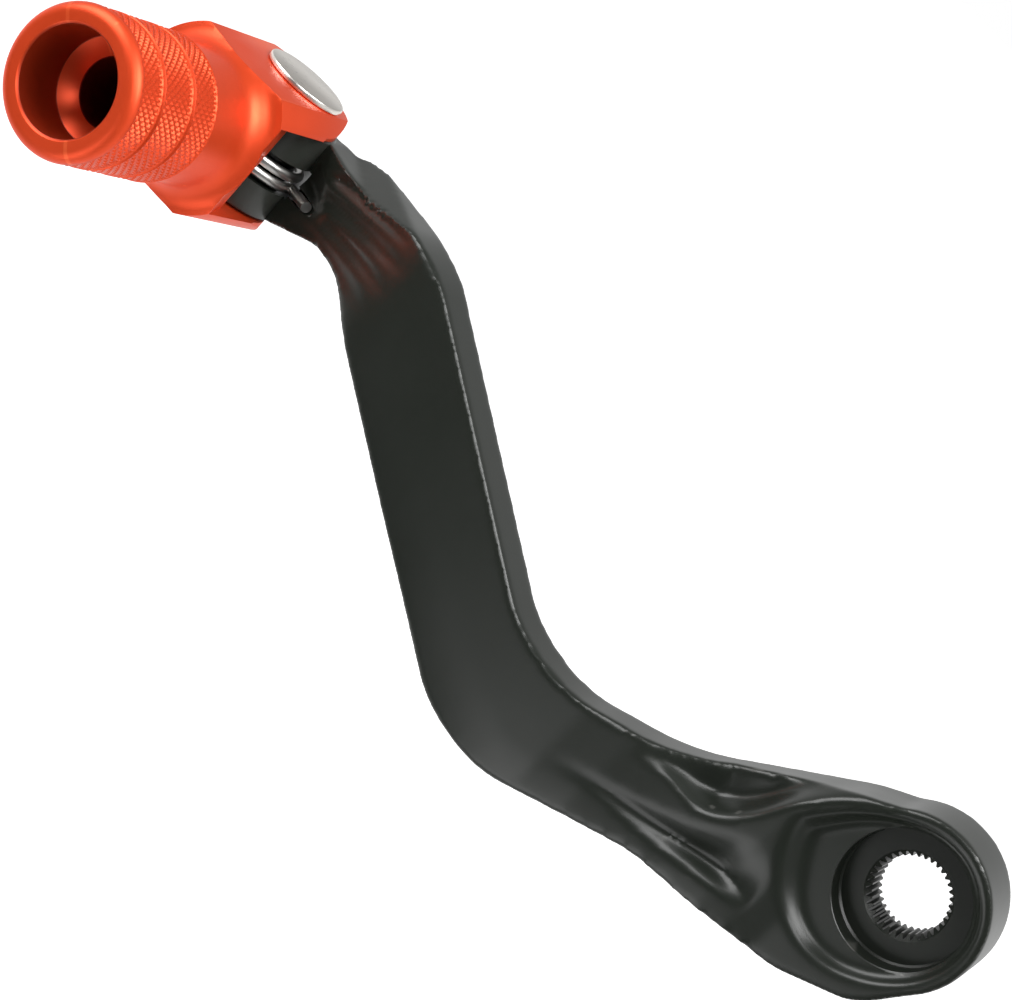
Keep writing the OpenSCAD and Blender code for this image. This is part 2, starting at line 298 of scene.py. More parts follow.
# The lug is turned and milled, so its edges stay crisp
lug = round_solid("lug", [(0, -LUG_H), (LUG_R - LUG_EDGE, -LUG_H), (LUG_R, -LUG_H + LUG_EDGE),
                          (LUG_R, LUG_H - LUG_EDGE), (LUG_R - LUG_EDGE, LUG_H), (0, LUG_H)], "Z", AT_PIVOT)
NOSE = 8.5
nose = outline_solid("nose", [(PIVOT[0], PIVOT[1], 0), (PIVOT[0] + NOSE, PIVOT[1], 0),
                              (PIVOT[0] + NOSE, PIVOT[1] + LUG_R, 0.6), (PIVOT[0], PIVOT[1] + LUG_R, 0)],
                     -LUG_H, LUG_H, upright=False)
combine(lug, nose, "UNION")
CORE_R = 7.7
COIL_LOW, COIL_HIGH = -3.15, 2.45
room = round_solid("spring_room", [(CORE_R, COIL_LOW), (LUG_R + 0.6, COIL_LOW), (LUG_R + 0.6, COIL_HIGH),
                                   (CORE_R, COIL_HIGH), (CORE_R, COIL_LOW)], "Z", AT_PIVOT)
room_front = outline_solid("room_front", [
    (PIVOT[0] + 1, PIVOT[1] + 7.2, 0), (PIVOT[0] + 12, PIVOT[1] + 0.5, 0),
    (PIVOT[0] + 12, PIVOT[1] + 12, 0), (PIVOT[0] + 1, PIVOT[1] + 12, 0)], COIL_LOW, COIL_HIGH, upright=False)
combine(arm, lug, "UNION", "MANIFOLD")
combine(arm, room, "DIFFERENCE", "MANIFOLD")
combine(arm, room_front, "DIFFERENCE", "MANIFOLD")
# Channel for the leg of the spring that lies on the neck
LEG_END = Vector((PIVOT[0] - 15.6, PIVOT[1] + 2.75, -0.5))
LEG_START = Vector((PIVOT[0] - 10.1, PIVOT[1] - 1.8, -1.6))
run = LEG_END - LEG_START
CHANNEL_R = 1.2
channel = round_solid("channel", [(0, -0.8), (CHANNEL_R, -0.8), (CHANNEL_R, run.length + 1.2),
                                  (0, run.length + 1.2)], "Z", segments=32)
channel.data.transform(Matrix.Translation(LEG_START * MM) @ run.to_track_quat("Z", "Y").to_matrix().to_4x4())
combine(arm, channel, "DIFFERENCE", "MANIFOLD")
core = round_solid("core", [(0, -LUG_H), (CORE_R, -LUG_H), (CORE_R, LUG_H), (0, LUG_H)], "Z",
                   AT_PIVOT)
combine(arm, core, "UNION", "MANIFOLD")

# Relief milled over and under the lug for the folded ears
RELIEF_R = 12.9
RELIEF_H = 8
EAR_SWING = [(-14, -30, 0), (26, -30, 0), (26, 17.6, 0), (-14, 17.6, 0)]
for low, high in ((LUG_H, LUG_H + RELIEF_H), (-LUG_H - RELIEF_H, -LUG_H)):
    relief = round_solid("relief", [(0, low), (RELIEF_R, low), (RELIEF_R, high), (0, high)], "Z", AT_PIVOT)
    combine(arm, relief, "DIFFERENCE", "MANIFOLD")
    swing = outline_solid("swing", EAR_SWING, low, high, upright=False)
    turn = Matrix.Translation((PIVOT[0] * MM, PIVOT[1] * MM, 0)) @ Matrix.Rotation(FOLD, 4, "Z")
    swing.data.transform(turn)
    combine(arm, swing, "DIFFERENCE", "MANIFOLD")

# Bush hole with a seal groove at each end, as one turned cutter
BUSH_R = 5.0
SEAL_R = 7.25
SEAL_DEPTH = 1.4
cutter = round_solid("bush_hole", [(0, -12), (BUSH_R, -12), (BUSH_R, 12), (0, 12)], "Z", AT_PIVOT)
combine(arm, cutter, "DIFFERENCE", "MANIFOLD")
for low, high in ((LUG_H - SEAL_DEPTH, LUG_H + 1), (-LUG_H - 1, -LUG_H + SEAL_DEPTH)):
    groove = round_solid("groove", [(BUSH_R + 0.5, low), (SEAL_R, low), (SEAL_R, high), (BUSH_R + 0.5, high),
                                    (BUSH_R + 0.5, low)], "Z", AT_PIVOT)
    combine(arm, groove, "DIFFERENCE", "MANIFOLD")

# Counterbore, then a fine-toothed hole with a lead-in chamfer
SEAT_R = 9.95
CREST_R = 5.5
ROOT_R = 6.2
TEETH = 36
PER_TOOTH = 4
LEAD_IN = 1.0
counterbore = round_solid("counterbore", [
    (0, 0), (SEAT_R - 0.3, 0), (SEAT_R, 0.3), (SEAT_R, SEAT_DEPTH - 0.1),
    (SEAT_R + 0.35, SEAT_DEPTH + 0.25), (SEAT_R + 0.35, 9), (0, 9)], "Y")
combine(arm, counterbore, "DIFFERENCE", "MANIFOLD")
bm = bmesh.new()
bmesh.ops.create_circle(bm, cap_ends=True, radius=ROOT_R * MM, segments=TEETH * PER_TOOTH)
for i, vert in enumerate(bm.verts):
    if i % PER_TOOTH in (2, 3):
        vert.co *= CREST_R / ROOT_R
bmesh.ops.rotate(bm, verts=bm.verts, cent=(0, 0, 0), matrix=Matrix.Rotation(math.pi / 2, 3, "X"))
bmesh.ops.translate(bm, verts=bm.verts, vec=(0, -10 * MM, 0))
thicken(bm, (0, 11 * MM, 0))
combine(arm, piece("spline", bm), "DIFFERENCE", "MANIFOLD")
for sections in ([(0, -1.1), (CREST_R - 0.1, -1.1), (CREST_R + LEAD_IN, 0.05), (0, 0.05)],
                 [(0, -8), (CREST_R + LEAD_IN, -8), (CREST_R - 0.1, -6.6), (0, -6.6)]):
    combine(arm, round_solid("lead_in", sections, "Y"), "DIFFERENCE", "MANIFOLD")
arm.name = arm.data.name = "shift_arm_forging"
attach(arm, "arm")
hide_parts("shift_arm")


def finish(obj, material, sharp=32):
    """Gives a piece its material and shades it smooth between its sharp edges."""
    obj.data.materials.clear()
    obj.data.materials.append(material)
    bm = bmesh.new()
    bm.from_mesh(obj.data)
    bmesh.ops.dissolve_degenerate(bm, dist=0.0005 * MM, edges=bm.edges)
    for face in bm.faces:
        face.smooth = True
    for edge in bm.edges:
        edge.smooth = len(edge.link_faces) == 2 and edge.calc_face_angle(0) < math.radians(sharp)
    bm.to_mesh(obj.data)
    bm.free()


def new_group(name, inputs, outputs):
    """An empty shader node group with number inputs and the named outputs."""
    group = bpy.data.node_groups.new(name, "ShaderNodeTree")
    for label, default in inputs:
        socket = group.interface.new_socket(label, in_out="INPUT", socket_type="NodeSocketFloat")
        socket.default_value = default
    for label in outputs:
        group.interface.new_socket(label, in_out="OUTPUT", socket_type="NodeSocketFloat")
    return group, group.nodes.new("NodeGroupInput"), group.nodes.new("NodeGroupOutput")


# Handling marks: a cloudy mask, fine grain, and a mask of rubbed edges
marks, marks_in, marks_out = new_group(
    "handling_marks", [("Cloud Scale", 60), ("Grain Scale", 2500), ("Edge Low", 0.53), ("Edge High", 0.62)],
    ["Cloud", "Grain", "Edge", "Scratch"])
where = marks.nodes.new("ShaderNodeTexCoord")
cloud = marks.nodes.new("ShaderNodeTexNoise")
cloud.inputs["Detail"].default_value = 4
grain = marks.nodes.new("ShaderNodeTexNoise")
grain.inputs["Detail"].default_value = 2
for noise, label in ((cloud, "Cloud Scale"), (grain, "Grain Scale")):
    marks.links.new(where.outputs["Object"], noise.inputs["Vector"])
    marks.links.new(marks_in.outputs[label], noise.inputs["Scale"])
marks.links.new(cloud.outputs["Fac"], marks_out.inputs["Cloud"])
marks.links.new(grain.outputs["Fac"], marks_out.inputs["Grain"])
shape = marks.nodes.new("ShaderNodeNewGeometry")
edge_range = marks.nodes.new("ShaderNodeMapRange")
marks.links.new(shape.outputs["Pointiness"], edge_range.inputs["Value"])
marks.links.new(marks_in.outputs["Edge Low"], edge_range.inputs["From Min"])
marks.links.new(marks_in.outputs["Edge High"], edge_range.inputs["From Max"])
rubbed = marks.nodes.new("ShaderNodeMath")
rubbed.operation = "MULTIPLY"
marks.links.new(edge_range.outputs["Result"], rubbed.inputs[0])
marks.links.new(cloud.outputs["Fac"], rubbed.inputs[1])
marks.links.new(rubbed.outputs["Value"], marks_out.inputs["Edge"])
stretch = marks.nodes.new("ShaderNodeMapping")
stretch.inputs["Scale"].default_value = (1, 1, 0.08)
stretch.inputs["Rotation"].default_value = (0.3, 0.5, 0.2)
marks.links.new(where.outputs["Object"], stretch.inputs["Vector"])
hairs = marks.nodes.new("ShaderNodeTexNoise")
hairs.inputs["Scale"].default_value = 900
hairs.inputs["Detail"].default_value = 1
marks.links.new(stretch.outputs["Vector"], hairs.inputs["Vector"])
hair_range = marks.nodes.new("ShaderNodeMapRange")
hair_range.inputs["From Min"].default_value = 0.66
hair_range.inputs["From Max"].default_value = 0.74
marks.links.new(hairs.outputs["Fac"], hair_range.inputs["Value"])
marks.links.new(hair_range.outputs["Result"], marks_out.inputs["Scratch"])


def new_material(name, colour, metallic, roughness):
    """A material with its Principled shader, and the handling marks beside it."""
    material = bpy.data.materials.new(name)
    material.use_nodes = True
    nodes, links = material.node_tree.nodes, material.node_tree.links
    shader = nodes["Principled BSDF"]
    shader.inputs["Base Color"].default_value = (*colour, 1)
    shader.inputs["Metallic"].default_value = metallic
    shader.inputs["Roughness"].default_value = roughness
    wear = nodes.new("ShaderNodeGroup")
    wear.node_tree = marks
    return material, nodes, links, shader, wear


def spread(nodes, links, source, low, high, target):
    """Runs a mask between two values into a socket."""
    node = nodes.new("ShaderNodeMapRange")
    node.inputs["From Min"].default_value = 0.3
    node.inputs["From Max"].default_value = 0.7
    node.inputs["To Min"].default_value = low
    node.inputs["To Max"].default_value = high
    links.new(source, node.inputs["Value"])
    links.new(node.outputs["Result"], target)


def tint(nodes, links, mask, plain, marked, target):
    """Mixes two colours by a mask into a socket."""
    mix = nodes.new("ShaderNodeMix")
    mix.data_type = "RGBA"
    mix.inputs["A"].default_value = (*plain, 1)
    mix.inputs["B"].default_value = (*marked, 1)
    links.new(mask, mix.inputs["Factor"])
    links.new(mix.outputs["Result"], target)
    return mix


def relief_bump(nodes, links, shader, source, strength, distance):
    bump = nodes.new("ShaderNodeBump")
    bump.inputs["Strength"].default_value = strength
    bump.inputs["Distance"].default_value = distance * MM
    links.new(source, bump.inputs["Height"])
    links.new(bump.outputs["Normal"], shader.inputs["Normal"])


BLACK_DYE = (0.0085, 0.0105, 0.008)
RUBBED_BLACK = (0.06, 0.06, 0.055)
black, nodes, links, shader, wear = new_material("black_anodised", BLACK_DYE, 0.0, 0.3)
shader.inputs["IOR"].default_value = 1.47
wear.inputs["Cloud Scale"].default_value = 45
wear.inputs["Grain Scale"].default_value = 1400
spread(nodes, links, wear.outputs["Cloud"], 0.27, 0.35, shader.inputs["Roughness"])
tint(nodes, links, wear.outputs["Edge"], BLACK_DYE, RUBBED_BLACK, shader.inputs["Base Color"])
relief_bump(nodes, links, shader, wear.outputs["Grain"], 0.06, 0.02)
finish(arm, black)

# ---------------------------------------------------------------------------
# Pivot bush and seals: a plain bronze bush pressed into the lug, and a rubber
# ring in a groove at each end of it to keep mud out.
# ---------------------------------------------------------------------------
bronze, nodes, links, shader, wear = new_material("bronze", (0.55, 0.33, 0.13), 1.0, 0.3)
spread(nodes, links, wear.outputs["Cloud"], 0.24, 0.4, shader.inputs["Roughness"])
relief_bump(nodes, links, shader, wear.outputs["Grain"], 0.15, 0.01)
PIN_R = 4.0
RUNNING_GAP = 0.04
bush = round_solid("pivot_bush_turned", [
    (PIN_R + RUNNING_GAP, -LUG_H + 0.3), (PIN_R + 0.3, -LUG_H), (BUSH_R - 0.2, -LUG_H),
    (BUSH_R, -LUG_H + 0.2), (BUSH_R, LUG_H - 0.2), (BUSH_R - 0.2, LUG_H), (PIN_R + 0.3, LUG_H),
    (PIN_R + RUNNING_GAP, LUG_H - 0.3), (PIN_R + RUNNING_GAP, -LUG_H + 0.3)], "Z", AT_PIVOT)
finish(bush, bronze)
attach(bush, "arm")
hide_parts("pivot_bush")

rubber, nodes, links, shader, wear = new_material("seal_rubber", (0.02, 0.02, 0.02), 0.0, 0.6)
spread(nodes, links, wear.outputs["Cloud"], 0.5, 0.75, shader.inputs["Roughness"])
relief_bump(nodes, links, shader, wear.outputs["Grain"], 0.3, 0.02)
SEAL_WIRE_R = 0.8
SEAL_MID_R = 6.4
SEAL_Z = LUG_H - SEAL_WIRE_R + 0.2
for name, height in (("upper_seal", SEAL_Z), ("lower_seal", -SEAL_Z)):
    bm = bmesh.new()
    upright_circle = Matrix.Translation((SEAL_MID_R * MM, 0, 0)) @ Matrix.Rotation(math.pi / 2, 4, "X")
    bmesh.ops.create_circle(bm, radius=SEAL_WIRE_R * MM, segments=20, matrix=upright_circle)
    bmesh.ops.spin(bm, geom=bm.verts[:] + bm.edges[:], cent=(0, 0, 0), axis=(0, 0, 1), angle=2 * math.pi,
                   steps=72, use_merge=True)
    bmesh.ops.recalc_face_normals(bm, faces=bm.faces)
    bmesh.ops.translate(bm, verts=bm.verts, vec=Vector((PIVOT[0], PIVOT[1], height)) * MM)
    seal = piece(name + "_ring", bm)
    finish(seal, rubber)
    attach(seal, "arm")
    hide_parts(name)

# ---------------------------------------------------------------------------
# Return spring: a torsion spring of drawn steel wire, coiled round the lug.
# One cut end lies on the neck and the other sits in a hole in the tip's web.
# ---------------------------------------------------------------------------
WIRE_R = 0.9
COIL_R = 8.75
COIL_Z = -1.95
COIL_PITCH = 2.1
LEG_ANGLE = 185
SWEEP = 360 + LEG_ANGLE
STEPS = 110
spring_curve = bpy.data.curves.new("return_spring_wire", "CURVE")
spring_curve.dimensions = "3D"
spring_curve.bevel_depth = WIRE_R * MM
spring_curve.bevel_resolution = 6
spring_curve.use_fill_caps = True
coil_top = COIL_Z + COIL_PITCH * SWEEP / 360
# The leg on the neck, its bend, the turns, then the leg in the web, from the pivot
route = [(-15.6, 2.75, -0.5), (-13, 0.6, -1.02), (-10.6, -1.39, -1.5), (-10.1, -1.75, -1.6),
         (-9.75, -1.98, -1.67), (-9.4, -2.08, -1.74), (-9.1, -1.96, -1.8), (-8.88, -1.6, -1.88),
         (-8.78, -1.2, -1.93)]
for i in range(STEPS + 1):
    angle = math.radians(LEG_ANGLE - SWEEP * i / STEPS)
    height = COIL_Z + COIL_PITCH * SWEEP / 360 * i / STEPS
    route.append((COIL_R * math.cos(angle), COIL_R * math.sin(angle), height))
route += [(COIL_R, 5, coil_top), (COIL_R, 12.6, coil_top)]
line = spring_curve.splines.new("POLY")
line.points.add(len(route) - 1)
for point, (x, y, z) in zip(line.points, route):
    point.co = ((PIVOT[0] + x) * MM, (PIVOT[1] + y) * MM, z * MM, 1)
spring = bpy.data.objects.new("return_spring_wire", spring_curve)
bpy.context.scene.collection.objects.link(spring)
wire_mesh = bpy.data.meshes.new_from_object(spring.evaluated_get(bpy.context.evaluated_depsgraph_get()))
bpy.data.objects.remove(spring)
spring = bpy.data.objects.new("return_spring_wire", wire_mesh)
bpy.context.scene.collection.objects.link(spring)
steel_wire, nodes, links, shader, wear = new_material("drawn_spring_steel", (0.5, 0.49, 0.47), 1.0, 0.3)
wear.inputs["Cloud Scale"].default_value = 250
spread(nodes, links, wear.outputs["Cloud"], 0.25, 0.42, shader.inputs["Roughness"])
relief_bump(nodes, links, shader, wear.outputs["Grain"], 0.25, 0.015)
finish(spring, steel_wire)
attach(spring, "arm")
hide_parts("return_spring")

# ---------------------------------------------------------------------------
# Folding tip: turned and milled from one bar of aluminium, with a stepped
# bore, three bands of diamond knurling, a flange and two ears that straddle
# the lug. It is bead-blasted lightly and anodised orange.
# ---------------------------------------------------------------------------
BARREL_X = 158.0
BARREL_R = 11.6
BARREL_TOP = 44.0
COLLAR_R = 10.8
COLLAR_BASE = 12.7
BARREL_BASE = 11.9
FLANGE_R = 15.0
FLANGE_FRONT = 8.0
EAR_TOP, EAR_LOW, EAR_IN = 12.0, -13.0, 8.8
EAR_R = 11.2
EAR_MIDDLE = (157.5, -6.8)
WEB_FACE = PIVOT[1] + LUG_R + 0.3
LIP_R = 1.9
BORE_R = 8.2
INNER_R = 5.4
STEP_TOP, STEP_LOW = 34.2, 32.2
BORE_FLOOR = 12.0

fillet = COLLAR_BASE - FLANGE_FRONT
section = [(0, -40), (FLANGE_R, -40), (FLANGE_R, FLANGE_FRONT + 0.15)]
for a in range(15, 91, 15):
    turn = math.radians(a)
    section.append((COLLAR_R + fillet * (1 - math.sin(turn)) * 0.98,
                    COLLAR_BASE - fillet * math.cos(turn) * 0.99))
section += [(COLLAR_R, COLLAR_BASE + 1), (0, COLLAR_BASE + 1)]
tip = round_solid("ears", section, "Y", (BARREL_X, 0, 0), 128)
plan = [(EAR_MIDDLE[0] + EAR_R * math.cos(math.radians(a)),
         EAR_MIDDLE[1] + EAR_R * math.sin(math.radians(a)), 0) for a in range(180, 361, 6)]
plan += [(BARREL_X + FLANGE_R + 0.5, PIVOT[1] + 11, 0), (BARREL_X + FLANGE_R + 0.5, 30, 0),
         (BARREL_X - FLANGE_R - 0.5, 30, 0), (BARREL_X - FLANGE_R - 0.5, PIVOT[1] + 11, 0)]
combine(tip, outline_solid("plan", plan, EAR_LOW, EAR_TOP, upright=False), "INTERSECT")
between = [(130, -40, 0), (190, -40, 0), (190, WEB_FACE, 0), (130, WEB_FACE, 0)]
combine(tip, outline_solid("gap", between, -EAR_IN, EAR_IN, upright=False), "DIFFERENCE")
web_side = [(PIVOT[0] - 7.2, PIVOT[1] + 6, 0), (PIVOT[0] - 8.4, PIVOT[1] + 11.5, 8),
            (PIVOT[0] - 10.9, PIVOT[1] + 17.6, 0), (130, PIVOT[1] + 17.6, 0), (130, PIVOT[1] + 6, 0)]
combine(tip, outline_solid("web_side", web_side, -EAR_IN, EAR_IN, upright=False), "DIFFERENCE")
broken_edges = tip.modifiers.new("broken_edges", "BEVEL")
broken_edges.width = 0.28 * MM
broken_edges.segments = 2
broken_edges.limit_method = "ANGLE"
broken_edges.angle_limit = math.radians(35)
settle(tip)

# Barrel with its bore. Each knurl groove falls on rows of points, so the diamonds come out sharp
DIAMONDS = 54
PER_DIAMOND = 6
ROW = 2 * math.pi * BARREL_R / DIAMONDS / PER_DIAMOND * 1.1
KNURL_DEPTH = 0.36
BANDS = [(21.8, 27.9), (28.7, 36.2), (37.0, 42.2)]
GROOVE = 0.5
profile = [(0, BARREL_BASE), (COLLAR_R, BARREL_BASE), (COLLAR_R, 21.1), (BARREL_R - 0.25, 21.6)]
for low, high in BANDS:
    rows = round((high - low) / ROW)
    profile += [(BARREL_R, low + (high - low) * i / rows) for i in range(rows + 1)]
    if high < BANDS[-1][1]:
        profile += [(BARREL_R - 0.1, high + 0.08), (BARREL_R - GROOVE, high + 0.3),
                    (BARREL_R - GROOVE, high + 0.65)]
for a in range(0, 91, 10):
    turn = math.radians(a)
    profile.append((BARREL_R - LIP_R + LIP_R * math.cos(turn), BARREL_TOP - LIP_R + LIP_R * math.sin(turn)))
profile += [(BORE_R + 0.35, BARREL_TOP - 0.04), (BORE_R, BARREL_TOP - 0.35), (BORE_R, STEP_TOP),
            (BORE_R - 0.3, STEP_TOP - 0.2), (INNER_R + 0.15, STEP_LOW + 0.2), (INNER_R, STEP_LOW),
            (INNER_R, BORE_FLOOR + 0.5), (0, BORE_FLOOR + 0.5), (0, BARREL_BASE)]
barrel = round_solid("barrel", profile, "Y", (BARREL_X, 0, 0), DIAMONDS * PER_DIAMOND)
spots = coordinates(barrel)
away = spots - (BARREL_X, 0, 0)
radius = np.hypot(away[:, 0], away[:, 2])
across = np.arctan2(away[:, 2], away[:, 0]) * DIAMONDS / (2 * math.pi)
for low, high in BANDS:
    on_band = (spots[:, 1] > low - 0.01) & (spots[:, 1] < high + 0.01) & (radius > BARREL_R - 0.1)
    lengthwise = (spots[:, 1] - low) / (ROW * PER_DIAMOND)
    one = np.abs((across + lengthwise) % 1 - 0.5) * 2
    other = np.abs((across - lengthwise) % 1 - 0.5) * 2
    from_end = np.minimum(spots[:, 1] - low, high - spots[:, 1])
    cut = KNURL_DEPTH * np.clip(np.maximum(one, other) * 1.25 - 0.25, 0, 1) * ramp(from_end / 0.5)
    shrink = np.where(on_band, (radius - cut) / np.maximum(radius, 1), 1)
    spots[:, 0] = BARREL_X + away[:, 0] * shrink
    spots[:, 2] = away[:, 2] * shrink
    away = spots - (BARREL_X, 0, 0)
    radius = np.hypot(away[:, 0], away[:, 2])
place(barrel, spots)
combine(tip, barrel, "UNION", "MANIFOLD")
inner = round_solid("inner", [(0, BORE_FLOOR), (INNER_R, BORE_FLOOR), (INNER_R, 30), (0, 30)], "Y",
                    (BARREL_X, 0, 0), 96)
combine(tip, inner, "DIFFERENCE", "MANIFOLD")
pin_hole = round_solid("pin_hole", [(0, -20), (PIN_R + 0.02, -20), (PIN_R + 0.02, 20), (0, 20)], "Z",
                       AT_PIVOT, 64)
combine(tip, pin_hole, "DIFFERENCE", "MANIFOLD")
RING_Z = EAR_LOW + 0.9
RING_ROOM = 1.2
RECESS_R = 6.4
ring_recess = round_solid("ring_recess", [(0, EAR_LOW - 1), (RECESS_R, EAR_LOW - 1),
                                          (RECESS_R, RING_Z + RING_ROOM), (0, RING_Z + RING_ROOM)],
                          "Z", AT_PIVOT, 64)
combine(tip, ring_recess, "DIFFERENCE", "MANIFOLD")
LEG_HOLE_R = 1.2
LEG_HOLE_DEPTH = 4.2
leg_hole = round_solid("leg_hole", [(0, 0), (LEG_HOLE_R, 0), (LEG_HOLE_R, LEG_HOLE_DEPTH),
                                    (0, LEG_HOLE_DEPTH)], "Y",
                       (PIVOT[0] + COIL_R, WEB_FACE - 1, coil_top), 24)
combine(tip, leg_hole, "DIFFERENCE", "MANIFOLD")
tip.name = tip.data.name = "folding_tip_turned"
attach(tip, "tip")
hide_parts("folding_tip")

ORANGE_DYE = (0.65, 0.055, 0.01)
RUBBED_ORANGE = (0.82, 0.125, 0.035)
# Painted shade: a near-black orange laid on the bore's walls and floor
PAINTED_BORE_SHADE = (0.14, 0.01, 0.003)
orange, nodes, links, shader, wear = new_material("orange_anodised", ORANGE_DYE, 0.6, 0.4)
wear.inputs["Cloud Scale"].default_value = 70
wear.inputs["Grain Scale"].default_value = 3200
wear.inputs["Edge Low"].default_value = 0.57
wear.inputs["Edge High"].default_value = 0.67
spread(nodes, links, wear.outputs["Cloud"], 0.34, 0.46, shader.inputs["Roughness"])
rubbed_orange = tint(nodes, links, wear.outputs["Edge"], ORANGE_DYE, RUBBED_ORANGE,
                     shader.inputs["Base Color"])
lathe_place = nodes.new("ShaderNodeTexCoord")
# Painted shade in the bore: its walls and floor are darkened towards a near-black orange by a mask from the
# distance to the barrel's axis, leaving the step ring out
from_axis = nodes.new("ShaderNodeVectorMath")
from_axis.operation = "SUBTRACT"
from_axis.inputs[1].default_value = (BARREL_X * MM, 0, 0)
links.new(lathe_place.outputs["Object"], from_axis.inputs[0])
across_axis = nodes.new("ShaderNodeVectorMath")
across_axis.operation = "MULTIPLY"
across_axis.inputs[1].default_value = (1, 0, 1)
links.new(from_axis.outputs["Vector"], across_axis.inputs[0])
axis_gap = nodes.new("ShaderNodeVectorMath")
axis_gap.operation = "LENGTH"
links.new(across_axis.outputs["Vector"], axis_gap.inputs[0])
in_bore = nodes.new("ShaderNodeMapRange")
in_bore.inputs["From Min"].default_value = (BORE_R - 0.1) * MM
in_bore.inputs["From Max"].default_value = (BORE_R + 0.3) * MM
in_bore.inputs["To Min"].default_value = 0.95
in_bore.inputs["To Max"].default_value = 0.0
links.new(axis_gap.outputs["Value"], in_bore.inputs["Value"])
on_step = nodes.new("ShaderNodeMath")
on_step.operation = "COMPARE"
on_step.inputs[1].default_value = (BORE_R + INNER_R) / 2 * MM
on_step.inputs[2].default_value = (BORE_R - INNER_R) / 2 * MM - 0.0001
links.new(axis_gap.outputs["Value"], on_step.inputs[0])
on_walls = nodes.new("ShaderNodeMath")
on_walls.operation = "SUBTRACT"
on_walls.use_clamp = True
links.new(in_bore.outputs["Result"], on_walls.inputs[0])
links.new(on_step.outputs["Value"], on_walls.inputs[1])
# Mixes the painted bore shade over the orange and its rubbed edges
painted_bore_shade_mix = tint(nodes, links, on_walls.outputs["Value"], (0, 0, 0), PAINTED_BORE_SHADE, shader.inputs["Base Color"])
links.new(rubbed_orange.outputs["Result"], painted_bore_shade_mix.inputs["A"])
lathe_scale = nodes.new("ShaderNodeMapping")
lathe_scale.inputs["Scale"].default_value = (0.02, 1, 0.02)
links.new(lathe_place.outputs["Object"], lathe_scale.inputs["Vector"])
lathe = nodes.new("ShaderNodeTexNoise")
lathe.inputs["Scale"].default_value = 9000
lathe.inputs["Detail"].default_value = 1
links.new(lathe_scale.outputs["Vector"], lathe.inputs["Vector"])
both = nodes.new("ShaderNodeMath")
both.operation = "ADD"
links.new(lathe.outputs["Fac"], both.inputs[0])
links.new(wear.outputs["Grain"], both.inputs[1])
relief_bump(nodes, links, shader, both.outputs["Value"], 0.18, 0.01)
finish(tip, orange, 24)

# ---------------------------------------------------------------------------
# Pivot pin: a stainless pin with a thin flat ground head, through both ears
# and the bush. A snap ring of spring steel in its groove holds it from below.
# ---------------------------------------------------------------------------
HEAD_R = 7.3
HEAD_T = 1.1
SHANK_END = EAR_LOW + 0.2
HEAD_TOP = EAR_TOP + HEAD_T
PIN_GROOVE = 0.6
pin = round_solid("pivot_pin_ground", [
    (0, SHANK_END), (PIN_R - 0.4, SHANK_END), (PIN_R, SHANK_END + 0.4), (PIN_R, RING_Z),
    (PIN_R - PIN_GROOVE, RING_Z), (PIN_R - PIN_GROOVE, RING_Z + RING_ROOM), (PIN_R, RING_Z + RING_ROOM),
    (PIN_R, EAR_TOP + 0.02), (HEAD_R - 0.25, EAR_TOP + 0.02), (HEAD_R, EAR_TOP + 0.25),
    (HEAD_R, HEAD_TOP - 0.35), (HEAD_R - 0.12, HEAD_TOP - 0.12), (HEAD_R - 0.4, HEAD_TOP), (0, HEAD_TOP)],
    "Z", AT_PIVOT, 128)
BARE_STEEL = (0.88, 0.84, 0.78)
SCRATCHED_STEEL = (0.7, 0.66, 0.61)
stainless, nodes, links, shader, wear = new_material("ground_stainless", BARE_STEEL, 1.0, 0.3)
wear.inputs["Cloud Scale"].default_value = 160
spread(nodes, links, wear.outputs["Cloud"], 0.24, 0.36, shader.inputs["Roughness"])
tint(nodes, links, wear.outputs["Scratch"], BARE_STEEL, SCRATCHED_STEEL, shader.inputs["Base Color"])
relief_bump(nodes, links, shader, wear.outputs["Grain"], 0.12, 0.01)
finish(pin, stainless)
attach(pin, "tip")
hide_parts("pivot_pin")

RING_R = PIN_R + 1.9
RING_BITE = 0.58
RING_T = 1.1
MOUTH = 1.9
bm = bmesh.new()
bmesh.ops.create_circle(bm, radius=RING_R * MM, segments=64, cap_ends=False)
bmesh.ops.create_circle(bm, radius=(PIN_R - RING_BITE) * MM, segments=64, cap_ends=False)
bmesh.ops.bridge_loops(bm, edges=bm.edges[:])
mouth = [f for f in bm.faces if f.calc_center_median().x > 0 and abs(f.calc_center_median().y) < MOUTH * MM]
bmesh.ops.delete(bm, geom=mouth, context="FACES")
bmesh.ops.translate(bm, verts=bm.verts, vec=Vector((PIVOT[0], PIVOT[1], RING_Z + 0.05)) * MM)
bmesh.ops.recalc_face_normals(bm, faces=bm.faces)
thicken(bm, (0, 0, RING_T * MM))
sharp_edges = [e for e in bm.edges if e.calc_face_angle(0) > 0.8]
bmesh.ops.bevel(bm, geom=sharp_edges, offset=0.1 * MM, offset_type="OFFSET", segments=1, profile=0.5,
                affect="EDGES", material=-1)
snap_ring = piece("retaining_ring_sprung", bm)
finish(snap_ring, steel_wire)
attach(snap_ring, "tip")
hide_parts("retaining_ring")

